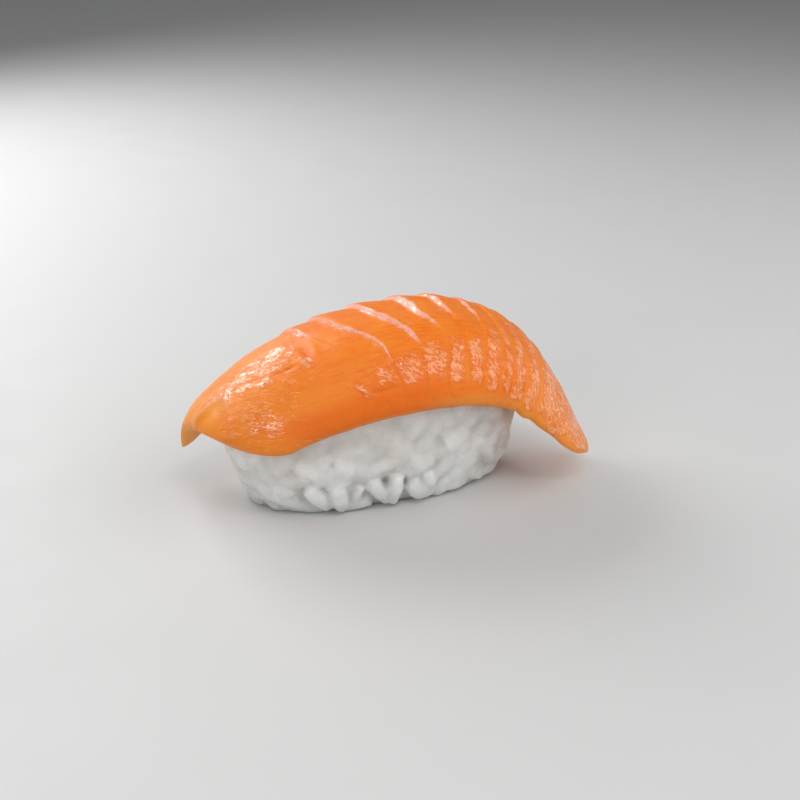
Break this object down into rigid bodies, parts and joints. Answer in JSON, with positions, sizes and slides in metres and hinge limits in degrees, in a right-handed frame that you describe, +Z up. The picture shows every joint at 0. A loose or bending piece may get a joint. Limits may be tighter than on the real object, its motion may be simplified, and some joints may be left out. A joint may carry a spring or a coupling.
{
  "type": "salmon nigiri",
  "caption": "Pressed oblong heap of sushi rice under one long draped slice of raw salmon with a diagonal cut end and a pointed tail.",
  "frame": {"origin": "middle of the rice heap's flat foot, on the surface that the piece stands on", "axes": "+X along the piece towards the pointed tail, -Y is the front where the slice hangs lower, +Z up"},
  "size_m": [0.0801, 0.0334, 0.0365],
  "materials": {
    "cooked_rice": "moist, slightly translucent, glossy",
    "salmon_flesh": "moist raw flesh with pale fat lines"
  },
  "bodies": {
    "root": {"rice": "cooked_rice", "salmon_slice": "salmon_flesh"}
  },
  "joints": []
}
